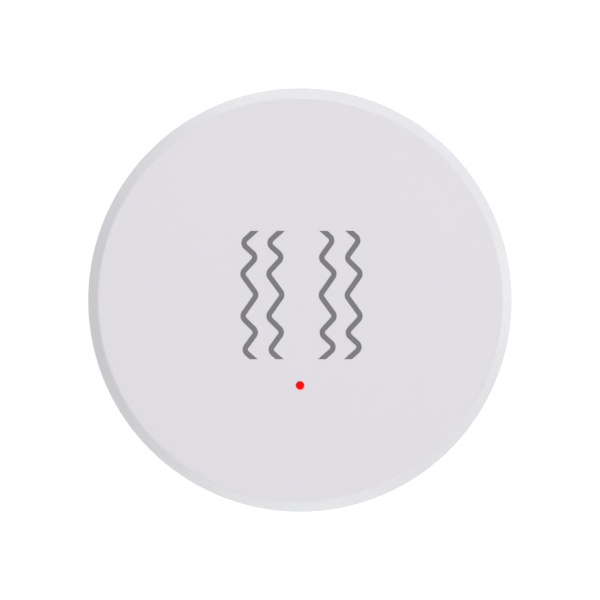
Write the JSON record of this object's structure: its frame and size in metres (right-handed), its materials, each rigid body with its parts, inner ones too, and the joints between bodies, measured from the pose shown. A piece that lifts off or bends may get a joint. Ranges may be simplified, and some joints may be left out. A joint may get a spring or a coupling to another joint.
{
  "type": "vibration sensor tag",
  "caption": "Round bevelled stick-on vibration sensor with an indicator window, a coin cell, a pairing key and a twist-off back cover.",
  "frame": {"origin": "centre of the tape ring's outer face, which the sensor stands on", "axes": "+Z out of the face, +Y towards the top of the picture on the face"},
  "size_m": [0.05, 0.05, 0.0142],
  "materials": {
    "housing": "fine matt white ABS with a faint lavender tint",
    "back_housing": "fine matt white ABS",
    "window": "lit red light pipe",
    "baffle": "soft black foam rubber",
    "board": "green solder mask",
    "chip_black": "moulded black epoxy",
    "ceramic": "fired ceramic with tinned ends",
    "shield_metal": "tinned steel",
    "contact_metal": "nickel plated spring strip",
    "cell_metal": "nickel plated steel",
    "gasket": "dark nylon",
    "tray": "white ABS",
    "key": "grey ABS",
    "screw_steel": "zinc plated",
    "seal": "dark silicone rubber",
    "tape": "pale acrylic foam tape"
  },
  "bodies": {
    "sensor": {"front_cover": "housing", "light_pipe": "window", "light_baffle": "baffle", "led_chip": "ceramic", "circuit_board": "board", "radio_board": "board", "radio_shield": "shield_metal", "chip_antenna": "ceramic", "crystal": "shield_metal", "accelerometer": "chip_black", "voltage_regulator": "chip_black", "bulk_capacitor": "chip_black", "capacitors": "ceramic", "resistors": "chip_black", "switch_base": "chip_black", "positive_contact": "contact_metal", "negative_contact": "contact_metal", "battery_can": "cell_metal", "battery_gasket": "gasket", "battery_cap": "cell_metal", "battery_tray": "tray", "tray_screws": "screw_steel"},
    "cover": {"back_cover": "back_housing", "seal_ring": "seal", "tape_ring": "tape"},
    "key": {"pairing_button": "key", "switch_plunger": "key"}
  },
  "joints": [
    {"name": "cover_twist", "type": "hinge", "parent": "sensor", "child": "cover", "pos_m": [0, 0, 0.0026], "axis": [0, 0, -1], "range_deg": [0, 20]},
    {"name": "key_press", "type": "slide", "parent": "sensor", "child": "key", "axis": [0, 0, 1], "range_m": [0, 0.0003], "stiffness_N_per_m": 1500, "springref_m": -0.0003}
  ]
}
